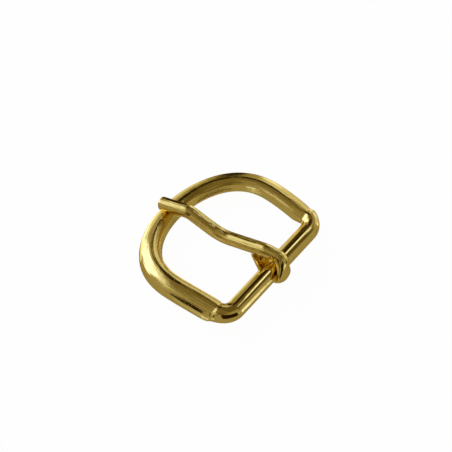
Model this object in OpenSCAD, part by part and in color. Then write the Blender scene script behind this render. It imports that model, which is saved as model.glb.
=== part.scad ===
// Half-D belt buckle: a wire frame with a pressed D rim, and a wire prong that swings on its bar.
// X runs from the bar to the bow, Y along the bar, Z up from the surface that the buckle lies on.
// The origin is on the bar's axis, midway between the corners.

/* [Bar] */
// Clear length of the bar between the inner corners, for a 38 mm strap
bar_clear = 39.5; // [38.5:0.5:41]
// Diameter of the frame's wire along the bar
bar_d = 5.75; // [5.6:0.05:5.9]
// Radius of the corners at the middle of the wire
corner_r = 4.7; // [4.5:0.1:5]

/* [Rim] */
// Width between the rim's middle lines at the widest place
belly_w = 48.9; // [48:0.1:50]
// Distance from the bar's axis to the widest place
belly_at = 18.2; // [17:0.1:20]
// Distance from the bar's axis to the rim's middle line at the bow
bow_reach = 38.4; // [38:0.1:39]
// Width of the pressed rim
rim_w = 7.35; // [7.2:0.05:7.5]
// Height of the rim's crown above the wire's middle
rim_top = 2.45; // [2.4:0.05:2.5]
// Depth of the flat underside below the wire's middle
rim_bottom = 2.15; // [2.05:0.05:2.25]
// Height of the steep inner wall
inner_wall = 2.2; // [2:0.05:2.4]
// Height of the low outer wall
outer_wall = 0.3; // [0.2:0.05:0.6]

/* [Shoulder] */
// Distance from the bar's axis at which the pressed part starts
shoulder_at = 2.6; // [2.4:0.1:2.8]
// Distance over which the height changes
shoulder_run = 1.8; // [1.6:0.1:2.2]
// Distance from the bar's axis at which the wire starts to widen
flare_at = 0.9; // [0.8:0.1:1.5]
// Distance over which it widens
flare_run = 6; // [5:0.5:7]

/* [Arch] */
// Radius that the whole frame is bent to
arch_r = 94.3; // [90:0.5:100]

/* [Prong] */
// Diameter of the prong's wire
prong_d = 4.25; // [4.15:0.05:4.3]
// Clearance between the eye and the bar
eye_gap = 0.35; // [0.3:0.01:0.38]
// Thickness of the flattened wire round the bar
eye_t = 1.75; // [1.7:0.05:1.8]
// Width of the flattened wire round the bar
eye_w = 4.45; // [4.3:0.05:4.6]
// Extra width of the ear at the back of the eye, where the wire is flattened most
ear_w = 2.1; // [1.8:0.1:2.3]
// Distance by which the ear stands out to one side
ear_out = 1.6; // [1.4:0.1:1.8]
// Distance of the eye from the middle of the bar
eye_shift = 1.35; // [1:0.05:1.8]
// Sideways lead of the eye, from the shank round to the cut end
eye_lead = 0.6; // [0.4:0.05:0.8]
// Angle between the shank and the square across the bar
prong_skew = 6.2; // [5.8:0.1:6.6]
// Gap between the prong and the rim that it lies on
rest_gap = 0.12; // [0.1:0.01:0.2]
// Distance from the bar's axis to the end of the prong
prong_reach = 40.7; // [40.3:0.1:41]

/* [Hidden] */

// Powers that give the arms and the bow their fullness
ARM_FULLNESS = 1.62;
BOW_FULLNESS = [2.25, 2.01];
// Powers that round the rim's lower edges and sharpen its inner crease
EDGE_ROUND = 0.61;
CREASE = 1.2;

// Points round a section, and points along each stretch of the two wires
RIM_SIDES = 24;
PRONG_SIDES = 16;
STUB_STEPS = 2;
CORNER_STEPS = 12;
ARM_STEPS = 11;
BOW_STEPS = 20;
EYE_STEPS = 34;
CUT_STEPS = 3;
BEND_STEPS = 7;
TIP_STEPS = 4;

// Length of bar that is buried in the rim's round ends, and how far those ends stand proud of it
STUB = 2.2;
BURIED = 1.4;
PROUD = 0.02;

BAR_R = bar_d / 2;
HALF_BAR = bar_clear / 2 + BAR_R;
HALF_BELLY = belly_w / 2;
EYE_R = BAR_R + eye_gap;
FLOOR_Z = -(EYE_R + eye_t);

function blend(a, b, k) = a + (b - a) * k;
function ease(k) = let (c = max(0, min(1, k))) c * c * (3 - 2 * c);
function power(v, p) = sign(v) * pow(abs(v), p);
function unit(v) = v / norm(v);

// Section of the wire before it is pressed, and of the pressed rim: outward, then up
function round_section(t, r) = [r * cos(t), r * sin(t)];
function rim_section(t) =
    let (wall = cos(t) >= 0 ? outer_wall : inner_wall,
         base = wall - rim_bottom,
         crease = cos(t) >= 0 ? 1 : CREASE)
    sin(t) >= 0
        ? [rim_w / 2 * power(cos(t), crease), base + (rim_top - base) * power(sin(t), crease)]
        : [rim_w / 2 * power(cos(t), EDGE_ROUND), base - wall * pow(abs(sin(t)), EDGE_ROUND)];

// Plan of the rim's middle line on the +Y side, from the bar to the bow: distance from bar, then Y
ARM_SLOPE = (HALF_BELLY - HALF_BAR) * ARM_FULLNESS / belly_at;
CORNER_TURN = 90 + atan(ARM_SLOPE);
CORNER_Y = HALF_BAR - corner_r / tan(CORNER_TURN / 2);
CORNER_END = corner_r * (1 + cos(CORNER_TURN));

function arm_y(s) = HALF_BELLY - (HALF_BELLY - HALF_BAR) * pow((belly_at - s) / belly_at, ARM_FULLNESS);
function bow_point(t) = [belly_at + (bow_reach - belly_at) * pow(sin(t), 2 / BOW_FULLNESS[0]),
                         HALF_BELLY * pow(cos(t), 2 / BOW_FULLNESS[1])];

HALF_PLAN = [
    for (i = [0 : STUB_STEPS - 1]) [0, CORNER_Y - STUB * (1 - i / STUB_STEPS)],
    for (i = [0 : CORNER_STEPS])
        let (t = blend(180, CORNER_TURN, i / CORNER_STEPS))
        [corner_r * (1 + cos(t)), CORNER_Y + corner_r * sin(t)],
    for (i = [1 : ARM_STEPS - 1])
        let (s = blend(CORNER_END, belly_at, i / ARM_STEPS)) [s, arm_y(s)],
    for (i = [0 : BOW_STEPS]) bow_point(90 * i / BOW_STEPS)
];
HALF_COUNT = len(HALF_PLAN);
RIM_PLAN = [
    for (i = [0 : HALF_COUNT - 1]) HALF_PLAN[i],
    for (i = [HALF_COUNT - 2 : -1 : 0]) [HALF_PLAN[i][0], -HALF_PLAN[i][1]]
];

// The arch: a point of the flat plan is bent round a circle whose axis is parallel to the bar
function arch_z(s, v, start) =
    let (slope = start - s / arch_r * 180 / PI)
    arch_r * (cos(slope) - cos(start)) + v * cos(slope);
function arch_x(s, v, start) =
    let (slope = start - s / arch_r * 180 / PI)
    arch_r * (sin(start) - sin(slope)) - v * sin(slope);

// Slope of the arch at the bar, in degrees, that brings the bow's underside down to the surface
BOW_SECTION = [for (i = [0 : RIM_SIDES - 1]) rim_section(360 * i / RIM_SIDES)];
function bow_low(start) = min([for (p = BOW_SECTION) arch_z(bow_reach + p[0], p[1], start)]);
function settle(low, high, n) =
    let (mid = (low + high) / 2)
    n == 0 ? mid : bow_low(mid) < FLOOR_Z ? settle(mid, high, n - 1) : settle(low, mid, n - 1);
ARCH_START = settle(0, 20, 30);

// Triangles that skin a row of rings. The two ends are closed by strips across them.
function end_strips(sides) = [
    for (j = [-sides / 4 : sides / 4 - 1])
        let (a = (j + sides) % sides, b = (j + 1 + sides) % sides, c = sides / 2 - j - 1, d = sides / 2 - j)
        each [if (b != c) [a, b, c], if (a != d) [a, c, d]]
];
function skin(rings, sides) = [
    for (f = end_strips(sides)) f,
    for (f = end_strips(sides)) [for (k = [2 : -1 : 0]) (rings - 1) * sides + f[k]],
    for (i = [0 : rings - 2])
        for (j = [0 : sides - 1])
            let (a = i * sides + j, b = i * sides + (j + 1) % sides)
            each [[a, a + sides, b + sides], [a, b + sides, b]]
];

// One point of the rim: the wire widens along its run, and drops to the rim's height past the shoulder
function rim_point(i, t) =
    let (last = len(RIM_PLAN) - 1,
         along = unit(RIM_PLAN[min(i + 1, last)] - RIM_PLAN[max(i - 1, 0)]),
         out = [-along[1], along[0]],
         proud_r = BAR_R + PROUD,
         wire = round_section(t, proud_r / cos(180 / RIM_SIDES)),
         rim = rim_section(t),
         u = blend(wire[0], rim[0], ease((RIM_PLAN[i][0] - flare_at) / flare_run)),
         p = RIM_PLAN[i] + u * out,
         v = blend(wire[1], rim[1], ease((p[0] - shoulder_at) / shoulder_run)))
    [arch_x(p[0], v, ARCH_START), p[1], arch_z(p[0], v, ARCH_START)];

module frame() {
    bar_end = CORNER_Y - STUB + BURIED;
    color("goldenrod") {
        rotate([90, 0, 0])
            cylinder(h = 2 * bar_end, r = BAR_R, center = true, $fn = 96);
        polyhedron(
            points = [for (i = [0 : len(RIM_PLAN) - 1])
                for (j = [0 : RIM_SIDES - 1]) rim_point(i, 360 * j / RIM_SIDES)],
            faces = skin(len(RIM_PLAN), RIM_SIDES));
    }
}

// Side view of the prong, as distance along the shank and then height. The eye is a ring that starts
// on the bow side of the bar, runs under it and round the back, and thickens until it meets the shank.
EYE_START = -31;
EYE_TOP = -270;
THICKEN_AT = -202;
// Where the ear starts, and the turns over which it rises and falls away
EAR_AT = -150;
EAR_RISE = 55;
EAR_FALL = 62;
// Power that fills out the flattened wire's section
FLATNESS = 0.83;
// Depths that the bore trims from the inside of the eye, at its thinnest and where the shank starts
SEAT = 0.2;
SHANK_SEAT = 0.06;
// Where the shank starts to fall, where it is lowest, and where it turns over on to the rim
FALL_AT = 3.9;
DIP = [18.95, 1.4];
CREST_AT = 30.5;
FALL_R = 6;
DIP_R = 13.3;
CREST_R = 4.5;
// Gap at the cut end of the eye, the least depth of its corners below the shank, and rounding of the tip
CUT_GAP = 0.12;
CUT_DEPTH = 0.9;
TIP_ROUND = 0.7;

// The tip lies along the crown of the rim
TIP_SLOPE = ARCH_START - bow_reach / arch_r * 180 / PI;
TIP_ALONG = [cos(TIP_SLOPE), sin(TIP_SLOPE)];
TIP_SEAT = [arch_x(bow_reach, rim_top, ARCH_START), arch_z(bow_reach, rim_top, ARCH_START)]
    + (prong_d / 2 + rest_gap) * [-TIP_ALONG[1], TIP_ALONG[0]];
function tip_line(u) = TIP_SEAT + (u - TIP_SEAT[0]) / TIP_ALONG[0] * TIP_ALONG;

FALL = [FALL_AT, EYE_R - SHANK_SEAT + prong_d / 2];
CREST = tip_line(CREST_AT);
TIP = tip_line(prong_reach);

// A row of the prong's table: distance, height, half thickness, half width, sideways lead, fullness
function eye_row(i) =
    let (t = blend(EYE_START, EYE_TOP, i / EYE_STEPS),
         k = ease((THICKEN_AT - t) / (THICKEN_AT - EYE_TOP)),
         ear = ease((EAR_AT - t) / EAR_RISE) * ease((t - EYE_TOP) / EAR_FALL),
         half_t = blend(eye_t + SEAT, prong_d, k) / 2,
         r = EYE_R - blend(SEAT, SHANK_SEAT, k) + half_t)
    [r * cos(t), r * sin(t), half_t, (blend(eye_w, prong_d, k) + ear_w * ear) / 2,
     eye_lead * (1 - i / EYE_STEPS) + ear_out * ear, blend(FLATNESS, 1, k)];
function wire_row(p, r) = [p[0], p[1], r, r, 0, 1];

// Points of an arc of radius r that rounds the corner b between a and c
function turn(a, b, c, r) =
    let (back = unit(a - b),
         ahead = unit(c - b),
         half = acos(back * ahead) / 2,
         middle = b + unit(back + ahead) * r / sin(half),
         from = b + back * r / tan(half) - middle,
         to = b + ahead * r / tan(half) - middle,
         t = atan2(from[1], from[0]),
         sweep = atan2(to[1], to[0]) - t,
         short = sweep > 180 ? sweep - 360 : sweep < -180 ? sweep + 360 : sweep)
    [for (i = [0 : BEND_STEPS])
        middle + r * [cos(t + short * i / BEND_STEPS), sin(t + short * i / BEND_STEPS)]];

// The straight end of the eye runs up from here, in direction RISE, to the underside of the shank
FIRST = eye_row(0);
RISE = [-sin(EYE_START), cos(EYE_START)];
FALL_RUN = unit(DIP - FALL);
BELOW = [FALL_RUN[1], -FALL_RUN[0]];

// One point of that end, a fraction f of the way up. The top follows the shank's round underside.
function cut_point(f, t) =
    let (foot = [FIRST[0], FIRST[1]] + FIRST[2] * power(cos(t), FIRST[5]) * [cos(EYE_START), sin(EYE_START)],
         side = FIRST[4] + FIRST[3] * power(sin(t), FIRST[5]),
         depth = sqrt(max(pow(prong_d / 2 + CUT_GAP, 2) - side * side, CUT_DEPTH * CUT_DEPTH)),
         p = foot + f * ((foot - FALL) * BELOW - depth) / -(RISE * BELOW) * RISE)
    [p[0], side, p[1]];

PRONG_ROWS = [
    for (i = [0 : EYE_STEPS]) eye_row(i),
    for (p = turn([0, FALL[1]], FALL, DIP, FALL_R)) wire_row(p, prong_d / 2),
    for (p = turn(FALL, DIP, CREST, DIP_R)) wire_row(p, prong_d / 2),
    for (p = turn(DIP, CREST, TIP, CREST_R)) wire_row(p, prong_d / 2),
    for (i = [0 : TIP_STEPS])
        let (back = TIP_ROUND * (1 - sin(90 * i / TIP_STEPS)))
        wire_row(TIP - back * TIP_ALONG, prong_d / 2 - TIP_ROUND * (1 - cos(90 * i / TIP_STEPS)))
];

// One point of the prong: offset square to the wire in the side view, and sideways
function prong_point(i, t) =
    let (last = len(PRONG_ROWS) - 1,
         row = PRONG_ROWS[i],
         ahead = PRONG_ROWS[min(i + 1, last)],
         behind = PRONG_ROWS[max(i - 1, 0)],
         along = unit([ahead[0] - behind[0], ahead[1] - behind[1]]),
         offset = row[2] * power(cos(t), row[5]))
    [row[0] - along[1] * offset, row[4] + row[3] * power(sin(t), row[5]), row[1] + along[0] * offset];

module prong() {
    color("gold")
        difference() {
            translate([0, -eye_shift, 0])
                rotate([0, 0, prong_skew])
                    polyhedron(
                        points = [
                            for (i = [CUT_STEPS : -1 : 0])
                                for (j = [0 : PRONG_SIDES - 1]) cut_point(i / CUT_STEPS, 360 * j / PRONG_SIDES),
                            for (i = [1 : len(PRONG_ROWS) - 1])
                                for (j = [0 : PRONG_SIDES - 1]) prong_point(i, 360 * j / PRONG_SIDES)],
                        faces = skin(CUT_STEPS + len(PRONG_ROWS), PRONG_SIDES));
            rotate([90, 0, 0])
                cylinder(h = bar_clear / 2, r = EYE_R, center = true, $fn = 96);
        }
}

frame();
prong();
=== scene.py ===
"""Looks for the half-D buckle: a brass wire frame with a pressed rim, and a wire prong on its bar."""

import math

import bpy
import numpy as np
from mathutils import Matrix, Vector


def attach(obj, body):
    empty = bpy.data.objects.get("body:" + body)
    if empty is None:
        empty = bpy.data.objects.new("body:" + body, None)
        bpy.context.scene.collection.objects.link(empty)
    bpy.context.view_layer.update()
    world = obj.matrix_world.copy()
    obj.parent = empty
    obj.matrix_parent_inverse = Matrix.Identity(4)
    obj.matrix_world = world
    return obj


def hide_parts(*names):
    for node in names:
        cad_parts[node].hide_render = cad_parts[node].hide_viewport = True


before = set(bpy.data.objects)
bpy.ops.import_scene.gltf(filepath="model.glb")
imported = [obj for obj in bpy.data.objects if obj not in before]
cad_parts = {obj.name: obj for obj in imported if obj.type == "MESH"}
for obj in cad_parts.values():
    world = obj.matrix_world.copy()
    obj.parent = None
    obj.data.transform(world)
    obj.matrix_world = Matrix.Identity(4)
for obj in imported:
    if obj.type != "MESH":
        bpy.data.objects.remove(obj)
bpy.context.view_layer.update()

MM = 0.001

# Driving sizes of the frame, in millimetres, the same as in the part's source
BAR_CLEAR = 39.5
BAR_D = 5.75
CORNER_R = 4.7
BELLY_W = 48.9
BELLY_AT = 18.2
BOW_REACH = 38.4
RIM_W = 7.35
RIM_TOP = 2.45
RIM_BOTTOM = 2.15
OUTER_WALL = 0.3
SHOULDER_AT = 2.6
SHOULDER_RUN = 1.8
FLARE_AT = 0.9
FLARE_RUN = 6.0
ARCH_R = 94.3
# Powers that give the arms, the bow and the rim's lower edges their fullness
ARM_FULLNESS = 1.62
BOW_FULLNESS = (2.25, 2.01)
EDGE_ROUND = 0.61

# Driving sizes of the prong, in millimetres and degrees, the same as in the part's source
PRONG_D = 4.25
EYE_GAP = 0.35
EYE_T = 1.75
EYE_W = 4.45
EAR_W = 2.1
EAR_OUT = 1.6
EYE_SHIFT = 1.35
EYE_LEAD = 0.6
PRONG_SKEW = 6.2
REST_GAP = 0.12
PRONG_REACH = 40.7
# Turns round the bar, in degrees: the eye's two ends, where its strip thickens, and its ear
EYE_START, EYE_TOP, THICKEN_AT = -31.0, -270.0, -202.0
EAR_AT, EAR_RISE, EAR_FALL = -150.0, 55.0, 62.0
# Power that fills out the flattened wire's section
FLATNESS = 0.83
# How much closer to the bar the eye lies where the shank starts
SHANK_SEAT = 0.06
# Where the shank starts to fall, where it is lowest, and where it turns over on to the rim
FALL_AT = 3.9
DIP = (18.95, 1.4)
CREST_AT = 30.5
FALL_R = 6.0
DIP_R = 13.3
CREST_R = 4.5
# Gap at the cut end of the eye, the least depth of its corners below the shank, and rounding of the tip
CUT_GAP = 0.12
CUT_DEPTH = 0.9
TIP_ROUND = 0.7

# Finer forms that the part's source doesn't have, in millimetres and degrees
# The rim's crown lies towards its inner side. That side has a facet, a rounded edge, a leaning wall and
# a rounded foot.
CROWN_U = -0.8
FACET_POWER = 2.0
FACET_END = (-3.1, 1.22)
CREASE_R = 0.42
WALL_LEAN = 10.5
FOOT_R = 1.2
# The eye's strip is wider on its far side, where it starts round the bar, and its cut end is rounded
FAR_EDGE_W = 1.1
FAR_EDGE_FROM, FAR_EDGE_END = -70.0, -120.0
CUT_ROUND = 0.25

# How finely the two wires are made
FRAME_STEP = 0.3
FRAME_SIDES = 160
PRONG_STEP = 0.25
PRONG_SIDES = 64
CAP_STEPS = 6
CUT_STEPS = 16
EYE_STEPS = 140
FACET_STEPS = 60
PLAN_STEPS = 600
BOW_STEPS = 3000
# Points of the facet this near to its rounded edge are left out, and so are points of the prong's line
# this near to the one before
EDGE_SEAM = 0.02
LINE_SEAM = 1e-6
# The slope of the arch is found by halving the range from level to this steepest one
HALVINGS = 40
STEEPEST = math.radians(20)

BAR_R = BAR_D / 2
HALF_BAR = BAR_CLEAR / 2 + BAR_R
HALF_BELLY = BELLY_W / 2
EYE_R = BAR_R + EYE_GAP
FLOOR_Z = -(EYE_R + EYE_T)


def blend(a, b, k):
    return a + (b - a) * k


def ease(k):
    k = np.clip(k, 0, 1)
    return k * k * (3 - 2 * k)


def power(v, p):
    return np.sign(v) * np.abs(v) ** p


def unit(v):
    return v / np.linalg.norm(v, axis=-1, keepdims=True)


def resample(rows, step):
    """The same line at even spacing. Its first two columns are the place."""
    run = np.r_[0, np.cumsum(np.linalg.norm(np.diff(rows[:, :2], axis=0), axis=1))]
    s = np.linspace(0, run[-1], int(round(run[-1] / step)) + 1)
    return np.stack([np.interp(s, run, rows[:, k]) for k in range(rows.shape[1])], 1)


# The frame

def arc(corner, before, after, r, steps=12):
    """Points of a small arc that rounds a corner between two directions of travel, given in degrees."""
    a0, a1 = math.radians(before), math.radians(after)
    cut = r * math.tan(abs(a1 - a0) / 2)
    start = np.array(corner) - cut * np.array([math.cos(a0), math.sin(a0)])
    t = np.linspace(a0, a1, steps)
    turn_sign = math.copysign(1, a1 - a0)
    middle = start + turn_sign * r * np.array([-math.sin(a0), math.cos(a0)])
    return middle - turn_sign * r * np.stack([-np.sin(t), np.cos(t)], 1)


def inner_side():
    """The rim's inner side from the crown to the middle of the underside, in five stretches."""
    d = np.linspace(0, CROWN_U - FACET_END[0], FACET_STEPS)
    drop = (RIM_TOP - FACET_END[1]) / d[-1] ** FACET_POWER
    facet = np.stack([CROWN_U - d, RIM_TOP - drop * d ** FACET_POWER], 1)
    slope = 180 + math.degrees(math.atan(drop * FACET_POWER * d[-1] ** (FACET_POWER - 1)))
    wall_way = 270 - WALL_LEAN
    edge = arc(FACET_END, slope, wall_way, CREASE_R)
    lean = math.tan(math.radians(WALL_LEAN))
    foot_u = edge[-1][0] - (edge[-1][1] + RIM_BOTTOM) * lean
    foot = arc((foot_u, -RIM_BOTTOM), wall_way, 360, FOOT_R)
    facet = facet[facet[:, 0] > edge[0][0] + EDGE_SEAM]
    return [
        np.vstack([facet, edge[:1]]), edge, np.vstack([edge[-1:], foot[:1]]),
        foot, np.array([foot[-1], [0, -RIM_BOTTOM]]),
    ]


INNER_SIDE = inner_side()
# Share of the section's turn that each stretch of the inner side takes, in degrees from the crown
INNER_TURNS = (0, 45, 70, 135, 155, 180)


def rim_section(t):
    """Section of the pressed rim: distance outward, then height above the wire's middle."""
    c, s = np.cos(t), np.sin(t)
    base = OUTER_WALL - RIM_BOTTOM
    u = np.where(s >= 0, blend(CROWN_U, RIM_W / 2, c), RIM_W / 2 * power(c, EDGE_ROUND))
    v = np.where(s >= 0, base + (RIM_TOP - base) * s, base - OUTER_WALL * np.abs(s) ** EDGE_ROUND)
    turned = np.degrees(t) - 90
    for stretch, low, high in zip(INNER_SIDE, INNER_TURNS, INNER_TURNS[1:]):
        run = np.r_[0, np.cumsum(np.linalg.norm(np.diff(stretch, axis=0), axis=1))]
        k = (turned - low) / (high - low) * run[-1]
        here = (turned >= low) & (turned <= high)
        u = np.where(here, np.interp(k, run, stretch[:, 0]), u)
        v = np.where(here, np.interp(k, run, stretch[:, 1]), v)
    return u, v


def rim_plan():
    """Half of the wire's middle line in plan, from the middle of the bar to the bow."""
    slope = (HALF_BELLY - HALF_BAR) * ARM_FULLNESS / BELLY_AT
    corner_turn = math.pi / 2 + math.atan(slope)
    corner_y = HALF_BAR - CORNER_R / math.tan(corner_turn / 2)
    corner_end = CORNER_R * (1 + math.cos(corner_turn))
    k = np.linspace(0, 1, PLAN_STEPS, endpoint=False)
    t = blend(math.pi, corner_turn, k)
    s = blend(corner_end, BELLY_AT, k)
    arm_y = HALF_BELLY - (HALF_BELLY - HALF_BAR) * ((BELLY_AT - s) / BELLY_AT) ** ARM_FULLNESS
    q = np.linspace(0, math.pi / 2, BOW_STEPS)
    bow_x = BELLY_AT + (BOW_REACH - BELLY_AT) * np.sin(q) ** (2 / BOW_FULLNESS[0])
    bow_y = HALF_BELLY * np.cos(q) ** (2 / BOW_FULLNESS[1])
    return np.vstack([
        np.stack([0 * k, corner_y * k], 1),
        np.stack([CORNER_R * (1 + np.cos(t)), corner_y + CORNER_R * np.sin(t)], 1),
        np.stack([s, arm_y], 1),
        np.stack([bow_x, bow_y], 1),
    ])


def arch(s, v, start):
    """A point of the flat plan, at distance s and height v, bent round a circle parallel to the bar."""
    slope = start - s / ARCH_R
    x = ARCH_R * (math.sin(start) - np.sin(slope)) - v * np.sin(slope)
    z = ARCH_R * (np.cos(slope) - math.cos(start)) + v * np.cos(slope)
    return x, z


def settle():
    """Slope of the arch at the bar that brings the bow's underside down to the floor."""
    u, v = rim_section(np.linspace(0, 2 * math.pi, FRAME_SIDES, endpoint=False))
    low, high = 0.0, STEEPEST
    for _ in range(HALVINGS):
        middle = (low + high) / 2
        if arch(BOW_REACH + u, v, middle)[1].min() < FLOOR_Z:
            low = middle
        else:
            high = middle
    return (low + high) / 2


ARCH_START = settle()


def frame_rings():
    half = resample(rim_plan(), FRAME_STEP)
    line = np.vstack([half, (half[::-1] * [1, -1])[1:-1]])
    along = unit(np.roll(line, -1, 0) - np.roll(line, 1, 0))
    along = unit(along + 0.5 * (np.roll(along, -1, 0) + np.roll(along, 1, 0)))
    out = np.stack([-along[:, 1], along[:, 0]], 1)
    t = np.linspace(0, 2 * math.pi, FRAME_SIDES, endpoint=False)
    rim_u, rim_v = rim_section(t)
    wire_u, wire_v = BAR_R * np.cos(t), BAR_R * np.sin(t)
    wide = ease((line[:, 0] - FLARE_AT) / FLARE_RUN)[:, None]
    u = blend(wire_u, rim_u, wide)
    p = line[:, None, :] + u[..., None] * out[:, None, :]
    pressed = ease((p[..., 0] - SHOULDER_AT) / SHOULDER_RUN)
    v = blend(wire_v, rim_v, pressed)
    x, z = arch(p[..., 0], v, ARCH_START)
    run = np.cumsum(np.linalg.norm(np.roll(line, -1, 0) - line, axis=1)) - FRAME_STEP
    space = np.stack([np.broadcast_to(run[:, None], u.shape), u, v], -1)
    return np.stack([x, p[..., 1], z], -1), space, pressed


# The prong

TIP_SLOPE = ARCH_START - BOW_REACH / ARCH_R
TIP_ALONG = np.array([math.cos(TIP_SLOPE), math.sin(TIP_SLOPE)])
TIP_UP = np.array([-TIP_ALONG[1], TIP_ALONG[0]])
TIP_SEAT = np.array(arch(BOW_REACH, RIM_TOP, ARCH_START)) + (PRONG_D / 2 + REST_GAP) * TIP_UP


def tip_line(x):
    return TIP_SEAT + (x - TIP_SEAT[0]) / TIP_ALONG[0] * TIP_ALONG


def turn(a, b, c, r, steps=24):
    """Points of an arc of radius r that rounds the corner b between a and c."""
    back, ahead = unit(a - b), unit(c - b)
    half = math.acos(back @ ahead) / 2
    middle = b + unit(back + ahead) * r / math.sin(half)
    first = b + back * r / math.tan(half) - middle
    last = b + ahead * r / math.tan(half) - middle
    t = math.atan2(first[1], first[0])
    sweep = (math.atan2(last[1], last[0]) - t + math.pi) % (2 * math.pi) - math.pi
    t = t + sweep * np.linspace(0, 1, steps)
    return middle + r * np.stack([np.cos(t), np.sin(t)], 1)


FALL = np.array([FALL_AT, EYE_R - SHANK_SEAT + PRONG_D / 2])
RISE = np.array([-math.sin(math.radians(EYE_START)), math.cos(math.radians(EYE_START))])
OUTWARD = np.array([RISE[1], -RISE[0]])
FALL_RUN = unit(np.array(DIP) - FALL)
BELOW = np.array([FALL_RUN[1], -FALL_RUN[0]])


def eye_rows():
    """The eye in side view: place, half thickness, half width, sideways lead, fullness of section."""
    k = np.linspace(0, 1, EYE_STEPS)
    t = blend(EYE_START, EYE_TOP, k)
    thick = ease((THICKEN_AT - t) / (THICKEN_AT - EYE_TOP))
    ear = ease((EAR_AT - t) / EAR_RISE) * ease((t - EYE_TOP) / EAR_FALL)
    half_t = blend(EYE_T, PRONG_D, thick) / 2
    far_edge = FAR_EDGE_W * (1 - ease((FAR_EDGE_FROM - t) / (FAR_EDGE_FROM - FAR_EDGE_END)))
    half_w = (blend(EYE_W, PRONG_D, thick) + EAR_W * ear + far_edge) / 2
    r = EYE_R + half_t - SHANK_SEAT * thick
    lead = EYE_LEAD * (1 - k) + EAR_OUT * ear - far_edge / 2
    t = np.radians(t)
    return np.stack([r * np.cos(t), r * np.sin(t), half_t, half_w, lead, blend(FLATNESS, 1, thick)], 1)


def prong_line():
    """The prong in side view, from the eye to the tip."""
    dip = np.array(DIP)
    crest, tip = tip_line(CREST_AT), tip_line(PRONG_REACH)

    def wire(points):
        r = np.full(len(points), PRONG_D / 2)
        return np.column_stack([points, r, r, 0 * r, 0 * r + 1])

    rows = np.vstack([
        eye_rows(),
        wire(turn(np.array([0, FALL[1]]), FALL, dip, FALL_R)),
        wire(turn(FALL, dip, crest, DIP_R)),
        wire(turn(dip, crest, tip, CREST_R)),
        wire(tip[None]),
    ])
    apart = np.r_[True, np.linalg.norm(np.diff(rows[:, :2], axis=0), axis=1) > LINE_SEAM]
    return resample(rows[apart], PRONG_STEP)


def section(row, t):
    """Offsets of one section of the prong: square to the wire in the side view, and sideways."""
    half_t, half_w, fullness = row[..., 2:3], row[..., 3:4], row[..., 5:6]
    return half_t * power(np.cos(t), fullness), half_w * power(np.sin(t), fullness)


def cut_end(first, t):
    """Rings of the eye's cut end, from its rounded top down. The top follows the shank's underside."""
    rings = []
    pair = (PRONG_SIDES // 2 - np.arange(PRONG_SIDES)) % PRONG_SIDES
    heights = np.r_[np.ones(2 * CAP_STEPS), np.linspace(1, 0, CUT_STEPS, endpoint=False)]
    for i, part in enumerate(heights):
        k = min(i / CAP_STEPS, 1.0)
        round_off = max(0.0, min((2 * CAP_STEPS - i) / CAP_STEPS, 1.0)) * math.pi / 2
        row = first.copy()
        shrink = CUT_ROUND * (1 - math.cos(round_off))
        row[2:4] -= shrink
        off, side = section(row, t)
        side = side + row[4]
        foot = first[:2] + off[:, None] * OUTWARD
        depth = np.sqrt(np.maximum((PRONG_D / 2 + CUT_GAP) ** 2 - side ** 2, CUT_DEPTH ** 2))
        depth += CUT_ROUND * (1 - math.sin(round_off))
        up = part * ((foot - FALL) @ BELOW - depth) / -(RISE @ BELOW)
        place = foot + up[:, None] * RISE
        middle = (place + place[pair]) / 2
        place = middle + (place - middle) * k
        rings.append(np.column_stack([place[:, 0], side, place[:, 1], -up, off * k, side - row[4]]))
    return np.array(rings)


def prong_rings():
    rows = prong_line()
    along = unit(np.gradient(rows[:, :2], axis=0))
    run = np.r_[0, np.cumsum(np.linalg.norm(np.diff(rows[:, :2], axis=0), axis=1))]
    keep = run <= run[-1] - TIP_ROUND
    rows, along, run = rows[keep], along[keep], run[keep]
    tail = []
    for k in range(1, CAP_STEPS + 1):
        t = math.pi / 2 * k / CAP_STEPS
        row = rows[-1].copy()
        row[:2] += along[-1] * TIP_ROUND * math.sin(t)
        row[2:4] -= TIP_ROUND * (1 - math.cos(t))
        tail.append(row)
    run = np.r_[run, run[-1] + np.linspace(0, TIP_ROUND, CAP_STEPS + 1)[1:]]
    along = np.vstack([along, np.repeat(along[-1:], CAP_STEPS, 0)])
    rows = np.vstack([rows, tail])
    t = np.linspace(0, 2 * math.pi, PRONG_SIDES, endpoint=False)
    off, lateral = section(rows, t)
    head = cut_end(rows[0], t)
    x = np.vstack([head[..., 0], rows[1:, 0:1] - along[1:, 1:2] * off[1:]])
    z = np.vstack([head[..., 2], rows[1:, 1:2] + along[1:, 0:1] * off[1:]])
    y = np.vstack([head[..., 1], rows[1:, 4:5] + lateral[1:]])
    skew = math.radians(PRONG_SKEW)
    place = np.stack([
        x * math.cos(skew) - y * math.sin(skew),
        x * math.sin(skew) + y * math.cos(skew) - EYE_SHIFT,
        z,
    ], -1)
    space = np.stack([np.broadcast_to(run[1:, None], off[1:].shape), off[1:], lateral[1:]], -1)
    return place, np.concatenate([head[..., 3:], space])


# Meshes

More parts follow.
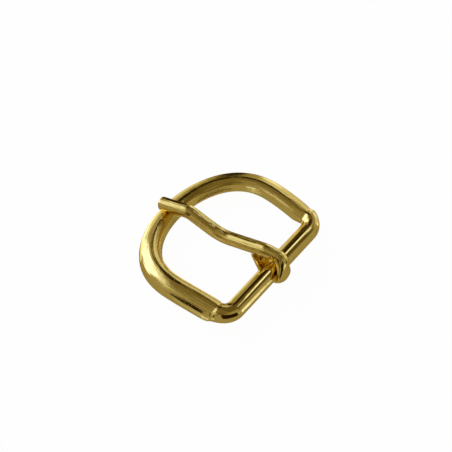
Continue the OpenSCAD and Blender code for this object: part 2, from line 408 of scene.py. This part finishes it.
def make_piece(name, rings, space, closed, masks=None):
    """A skin over rows of rings. Places on the wire, as if it were straight, are kept as wire_space."""
    n, m = rings.shape[:2]
    ids = np.arange(n * m).reshape(n, m)
    near = ids if closed else ids[:-1]
    far = np.roll(ids, -1, 0) if closed else ids[1:]
    faces = np.stack([near, np.roll(near, -1, 1), np.roll(far, -1, 1), far], -1).reshape(-1, 4).tolist()
    if not closed:
        faces += [ids[0, ::-1].tolist(), ids[-1].tolist()]
    mesh = bpy.data.meshes.new(name)
    mesh.from_pydata((rings.reshape(-1, 3) * MM).tolist(), [], faces)
    mesh.update()
    mesh.shade_smooth()
    attribute = mesh.attributes.new("wire_space", "FLOAT_VECTOR", "POINT")
    attribute.data.foreach_set("vector", space.reshape(-1).astype(np.float32))
    for key, values in (masks or {}).items():
        attribute = mesh.attributes.new(key, "FLOAT", "POINT")
        attribute.data.foreach_set("value", values.reshape(-1).astype(np.float32))
    piece = bpy.data.objects.new(name, mesh)
    bpy.context.scene.collection.objects.link(piece)
    return piece


rings, space, pressed = frame_rings()
frame_wire = make_piece("frame_wire", rings, space, True, {"pressed": pressed})
rings, space = prong_rings()
# The prong's rings are turned the other way round, so that its faces look outward
prong_wire = make_piece("prong_wire", rings[:, ::-1], space[:, ::-1], False)


# Materials

class Nodes:
    """Short names for making and joining shader nodes."""

    def __init__(self, tree):
        self.tree = tree
        tree.nodes.clear()

    def add(self, kind, **settings):
        node = self.tree.nodes.new(kind)
        for key, value in settings.items():
            setattr(node, key, value)
        return node

    def put(self, socket, value):
        if isinstance(value, bpy.types.NodeSocket):
            self.tree.links.new(value, socket)
        else:
            socket.default_value = value

    def math(self, operation, a, b=0.0, c=0.0, clamp=False):
        node = self.add("ShaderNodeMath", operation=operation, use_clamp=clamp)
        for socket, value in zip(node.inputs, (a, b, c)):
            self.put(socket, value)
        return node.outputs[0]

    def between(self, share, low, high):
        return self.math("MULTIPLY_ADD", share, high - low, low)

    def dot(self, a, b):
        node = self.add("ShaderNodeVectorMath", operation="DOT_PRODUCT")
        self.put(node.inputs[0], a)
        self.put(node.inputs[1], b)
        return node.outputs["Value"]

    def scale(self, vector, factors):
        node = self.add("ShaderNodeVectorMath", operation="MULTIPLY")
        self.put(node.inputs[0], vector)
        self.put(node.inputs[1], factors)
        return node.outputs[0]

    def noise(self, wire, stretch, scale, detail, roughness):
        """Noise on a wire, drawn out along it where the stretch is under 1."""
        node = self.add("ShaderNodeTexNoise")
        self.put(node.inputs["Vector"], self.scale(wire, (stretch, 1.0, 1.0)))
        self.put(node.inputs["Scale"], scale)
        self.put(node.inputs["Detail"], detail)
        self.put(node.inputs["Roughness"], roughness)
        return node.outputs["Fac"]

    def spread(self, value, low, high, out_low=0.0, out_high=1.0):
        node = self.add("ShaderNodeMapRange", interpolation_type="SMOOTHSTEP")
        for socket, v in zip(node.inputs, (value, low, high, out_low, out_high)):
            self.put(socket, v)
        return node.outputs[0]

    def mix(self, factor, a, b):
        node = self.add("ShaderNodeMix", data_type="RGBA")
        self.put(node.inputs[0], factor)
        self.put(node.inputs[6], a)
        self.put(node.inputs[7], b)
        return node.outputs[2]

    def attribute(self, name, output):
        return self.add("ShaderNodeAttribute", attribute_name=name).outputs[output]


# Colour of the brass where it is darkest and palest, and at a grazing angle
BRASS_DARK = (0.70, 0.50, 0.12, 1)
BRASS_PALE = (0.94, 0.74, 0.24, 1)
EDGE_TINT = (0.85, 0.68, 0.40, 1)
# How much the lines of drawing and the grain show in the colour
FRAME_DRAWN = 1.2
PRONG_DRAWN = 1.8
GRAIN_SHARE = 0.5

# Noises on a wire: stretch along it, scale to the millimetre across it, detail and roughness
DRAWN = (0.10, 2.6, 4.0, 0.6)
GRAIN = (1.0, 5.0, 3.0, 0.6)
FRAME_GRAIN = (1.0, 9.0, 2.0, 0.6)
FRAME_WAVES = (0.5, 0.45, 2.0, 0.5)
FRAME_PITS = (1.0, 3.2, 1.0, 0.5)
FRAME_LINES = (0.03, 1.3, 1.0, 0.5)
FRAME_SHEEN = (0.3, 1.2, 3.0, 0.5)
PRONG_LINES = (0.05, 1.7, 2.0, 0.5)
PRONG_WAVES = (0.5, 0.5, 2.0, 0.5)
PRONG_SHEEN = (0.1, 2.0, 3.0, 0.5)

# Heights of the relief in millimetres. A pair is for the round wire and for the pressed rim.
GRAIN_HEIGHT = (0.001, 0.007)
WAVES_HEIGHT = (0.03, 0.10)
PIT_HEIGHT = (0.0, -0.01)
FRAME_LINES_HEIGHT = 0.12
PRONG_LINES_HEIGHT = 0.22
PRONG_WAVES_HEIGHT = 0.08
# The noise between these two makes the edge of a pit
PIT_EDGE = (0.70, 0.76)
# The eye is smooth. The prong's relief fades out towards it, over this run of the wire.
EYE_END = (14.0, 19.0)
EYE_RELIEF = 0.15

# Roughness of the frame's round wire and of its pressed rim, that of the prong, and what a noise adds
FRAME_ROUGH = (0.04, 0.10)
PRONG_ROUGH = 0.04
SHEEN = 0.06


def brass(name, drawn_share, finish):
    material = bpy.data.materials.new(name)
    material.use_nodes = True
    n = Nodes(material.node_tree)
    shader = n.add("ShaderNodeBsdfPrincipled")
    n.put(n.add("ShaderNodeOutputMaterial").inputs["Surface"], shader.outputs[0])
    shader.inputs["Metallic"].default_value = 1.0
    shader.inputs["Specular Tint"].default_value = EDGE_TINT
    wire = n.attribute("wire_space", "Vector")
    drawn = n.math("SUBTRACT", n.noise(wire, *DRAWN), 0.5)
    grain = n.math("SUBTRACT", n.noise(wire, *GRAIN), 0.5)
    share = n.math("MULTIPLY_ADD", drawn, drawn_share, 0.5)
    share = n.math("MULTIPLY_ADD", grain, GRAIN_SHARE, share, clamp=True)
    n.put(shader.inputs["Base Color"], n.mix(share, BRASS_DARK, BRASS_PALE))
    roughness, height = finish(n, wire)
    n.put(shader.inputs["Roughness"], roughness)
    bump = n.add("ShaderNodeBump")
    n.put(bump.inputs["Height"], height)
    n.put(bump.inputs["Distance"], MM)
    n.put(shader.inputs["Normal"], bump.outputs[0])
    return material


def frame_finish(n, wire):
    """Roughness and relief of the frame, which is grainier and pitted where it is pressed."""
    pressed = n.attribute("pressed", "Fac")
    waves = n.math("MULTIPLY", n.noise(wire, *FRAME_WAVES), n.between(pressed, *WAVES_HEIGHT))
    grain_height = n.between(pressed, *GRAIN_HEIGHT)
    height = n.math("MULTIPLY_ADD", n.noise(wire, *FRAME_GRAIN), grain_height, waves)
    pits = n.spread(n.noise(wire, *FRAME_PITS), *PIT_EDGE)
    height = n.math("MULTIPLY_ADD", pits, n.between(pressed, *PIT_HEIGHT), height)
    height = n.math("MULTIPLY_ADD", n.noise(wire, *FRAME_LINES), FRAME_LINES_HEIGHT, height)
    roughness = n.between(pressed, *FRAME_ROUGH)
    roughness = n.math("MULTIPLY_ADD", n.noise(wire, *FRAME_SHEEN), SHEEN, roughness)
    return roughness, height


def prong_finish(n, wire):
    """Roughness and relief of the prong, which is drawn wire with a smooth eye."""
    waves = n.math("MULTIPLY", n.noise(wire, *PRONG_WAVES), PRONG_WAVES_HEIGHT)
    height = n.math("MULTIPLY_ADD", n.noise(wire, *PRONG_LINES), PRONG_LINES_HEIGHT, waves)
    shank = n.spread(n.dot(wire, (1.0, 0.0, 0.0)), *EYE_END, EYE_RELIEF, 1.0)
    height = n.math("MULTIPLY", height, shank)
    roughness = n.math("MULTIPLY_ADD", n.noise(wire, *PRONG_SHEEN), SHEEN, PRONG_ROUGH)
    return roughness, height


frame_wire.data.materials.append(brass("frame_brass", FRAME_DRAWN, frame_finish))
prong_wire.data.materials.append(brass("prong_brass", PRONG_DRAWN, prong_finish))

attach(frame_wire, "frame")
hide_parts("frame")
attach(prong_wire, "prong")
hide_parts("prong")


# Floor, plain white. The brass sees the studio below the horizon in its place.

FLOOR_HALF = 3.0
FLOOR_DROP = 0.00002
FLOOR_WHITE = 0.975
FLOOR_SHADE = 0.04


def floor_white():
    """Plain white to the camera, with a faint shadow."""
    material = bpy.data.materials.new("floor_white")
    material.use_nodes = True
    n = Nodes(material.node_tree)
    seen = n.add("ShaderNodeLightPath").outputs["Is Camera Ray"]
    plain = n.add("ShaderNodeBsdfDiffuse")
    n.put(plain.inputs["Color"], (FLOOR_SHADE, FLOOR_SHADE, FLOOR_SHADE, 1))
    glow = n.add("ShaderNodeEmission")
    n.put(glow.inputs["Strength"], n.math("MULTIPLY", seen, FLOOR_WHITE))
    both = n.add("ShaderNodeAddShader")
    n.put(both.inputs[0], plain.outputs[0])
    n.put(both.inputs[1], glow.outputs[0])
    n.put(n.add("ShaderNodeOutputMaterial").inputs["Surface"], both.outputs[0])
    return material


def make_floor():
    mesh = bpy.data.meshes.new("floor")
    z = FLOOR_Z * MM - FLOOR_DROP
    corners = [(x * FLOOR_HALF, y * FLOOR_HALF, z) for x, y in ((-1, -1), (1, -1), (1, 1), (-1, 1))]
    mesh.from_pydata(corners, [], [(0, 1, 2, 3)])
    floor = bpy.data.objects.new("floor", mesh)
    bpy.context.scene.collection.objects.link(floor)
    floor.data.materials.append(floor_white())
    floor.visible_glossy = False
    return floor


make_floor()


# Studio light: a dim room with soft white cards and dark flags round the buckle

ROOM = 0.355
BACKDROP = 1.0
# The dim parts of the room are warm and the bright cards are cool: scale and power of red and of blue
RED_LIGHT = (0.93, 0.85)
BLUE_LIGHT = (1.25, 1.5)
# The darkest that flags make the room
DARKEST = 0.012
# Keeps a card out of the half of the room that faces it
IN_FRONT = 0.001
# For each card, in degrees: direction round from +X, height above the floor, half width, half height,
# softness of the edge, and lean of its top to larger directions. Then its strength. Flags, with a
# strength below 0, are darker than the room.
CARDS = {
    "ceiling": (0, 90, 40, 40, 12, 0, -0.19),
    "hood": (250, 60, 38, 18, 4, 0, -0.06),
    "hood_edge": (220, 38, 11, 7, 4, 0, -0.16),
    "flag": (316, 48, 12, 13, 3, 0, -0.17),
    "flag_side": (319, 30, 4, 9, 3, 0, -0.32),
    "flag_low": (309, 0, 5, 24, 3, 8, -0.38),
    "glint": (254, 55, 7, 4, 2, 0, 1.3),
    "key": (8, 18, 22, 24, 6, 0, 1.5),
    "key_high": (12, 49, 21, 8, 7, 0, 0.75),
    "key_low": (350, -18, 11, 16, 4, 0, 1.2),
    "front_card": (327, -18, 10, 27, 4, 10, 0.60),
    "front_hot": (335, -29, 8, 11, 4, 20, 1.2),
    "side_card": (269, 2, 27, 27, 4, 0, 0.42),
    "side_top": (291, 36, 8, 7, 4, 0, 0.50),
    "side_hot": (263, 8, 6, 8, 3, 0, 0.9),
    "side_strip": (291, -12, 4, 20, 3, 0, 0.60),
    "side_end": (243, 0, 4, 5, 3, 0, 0.6),
    "dark_wall": (162, 15, 28, 27, 4, 0, -0.44),
    "flag_high": (122, 37, 12, 5, 4, 0, -0.25),
    "right_card": (50, 35, 11, 12, 5, 0, 0.4),
    "right_high": (75, 62, 12, 10, 5, 0, 0.12),
    "right_dim": (110, 48, 22, 16, 6, 0, -0.05),
    "right_flag": (82, 11, 9, 15, 3, 15, -0.42),
    "low_glint": (209, -9, 3, 8, 3, 0, 1.1),
    "low_band": (200, 1, 6, 4, 3, 0, 0.4),
    "right_strip": (84, -20, 8, 11, 4, 0, 0.20),
    "floor_glint": (96, -33, 8, 5, 4, 0, 1.0),
    "flag_left": (224, -11, 8, 3, 3, 20, -0.40),
}


def direction(az, el):
    az, el = math.radians(az), math.radians(el)
    return Vector((math.cos(az) * math.cos(el), math.sin(az) * math.cos(el), math.sin(el)))


def card_light(n, towards, az, el, half_w, half_h, soft, lean, strength):
    """What one card adds to the room: its strength inside, and nothing past its soft edge."""
    middle = direction(az, el)
    level = direction(az + 90, 0)
    down = level.cross(middle)
    lean = math.radians(lean)
    sideways = level * math.cos(lean) + down * math.sin(lean)
    lengthways = down * math.cos(lean) - level * math.sin(lean)
    depth = n.math("MAXIMUM", n.dot(towards, middle), IN_FRONT)
    light = strength
    for axis, half in ((sideways, half_w), (lengthways, half_h)):
        across = n.math("ABSOLUTE", n.math("DIVIDE", n.dot(towards, axis), depth))
        inner = math.tan(math.radians(half - soft / 2))
        outer = math.tan(math.radians(half + soft / 2))
        light = n.math("MULTIPLY", n.spread(across, inner, outer, 1.0, 0.0), light)
    return light


def light_studio():
    world = bpy.data.worlds.new("studio")
    bpy.context.scene.world = world
    world.use_nodes = True
    n = Nodes(world.node_tree)
    towards = n.add("ShaderNodeTexCoord").outputs["Generated"]
    total = ROOM
    for card in CARDS.values():
        total = n.math("ADD", card_light(n, towards, *card), total)
    total = n.math("MAXIMUM", total, DARKEST)
    colour = n.add("ShaderNodeCombineColor")
    n.put(colour.inputs[0], n.math("MULTIPLY", n.math("POWER", total, RED_LIGHT[1]), RED_LIGHT[0]))
    n.put(colour.inputs[1], total)
    n.put(colour.inputs[2], n.math("MULTIPLY", n.math("POWER", total, BLUE_LIGHT[1]), BLUE_LIGHT[0]))
    seen = n.add("ShaderNodeLightPath").outputs["Is Camera Ray"]
    background = n.add("ShaderNodeBackground")
    plain = (BACKDROP, BACKDROP, BACKDROP, 1)
    n.put(background.inputs["Color"], n.mix(seen, colour.outputs[0], plain))
    n.put(n.add("ShaderNodeOutputWorld").inputs["Surface"], background.outputs[0])


light_studio()


# Camera, at the photograph's viewing angle. Its angles are in degrees, its distance and its near limit
# in metres, and its lens and sensor in millimetres.

CAMERA_AZ = 210.66
CAMERA_EL = 51.52
CAMERA_ROLL = 7.78
CAMERA_AWAY = 0.37351
CAMERA_AIM = Vector((17.803, 0.451, 6.778)) * MM
CAMERA_LENS = 99.44
CAMERA_SENSOR = 36
CAMERA_NEAR = 0.01


def place_camera():
    az, el, roll = (math.radians(v) for v in (CAMERA_AZ, CAMERA_EL, CAMERA_ROLL))
    back = Vector((math.sin(az) * math.cos(el), -math.cos(az) * math.cos(el), math.sin(el)))
    level = Vector((math.cos(az), math.sin(az), 0))
    upright = back.cross(level)
    right = level * math.cos(roll) + upright * math.sin(roll)
    up = upright * math.cos(roll) - level * math.sin(roll)
    data = bpy.data.cameras.new("camera")
    data.lens = CAMERA_LENS
    data.sensor_width = CAMERA_SENSOR
    data.clip_start = CAMERA_NEAR
    camera = bpy.data.objects.new("camera", data)
    bpy.context.scene.collection.objects.link(camera)
    turned = Matrix((right, up, back)).transposed().to_4x4()
    camera.matrix_world = Matrix.Translation(CAMERA_AIM + back * CAMERA_AWAY) @ turned
    return camera


bpy.context.scene.camera = place_camera()
bpy.context.scene.view_settings.view_transform = "Standard"
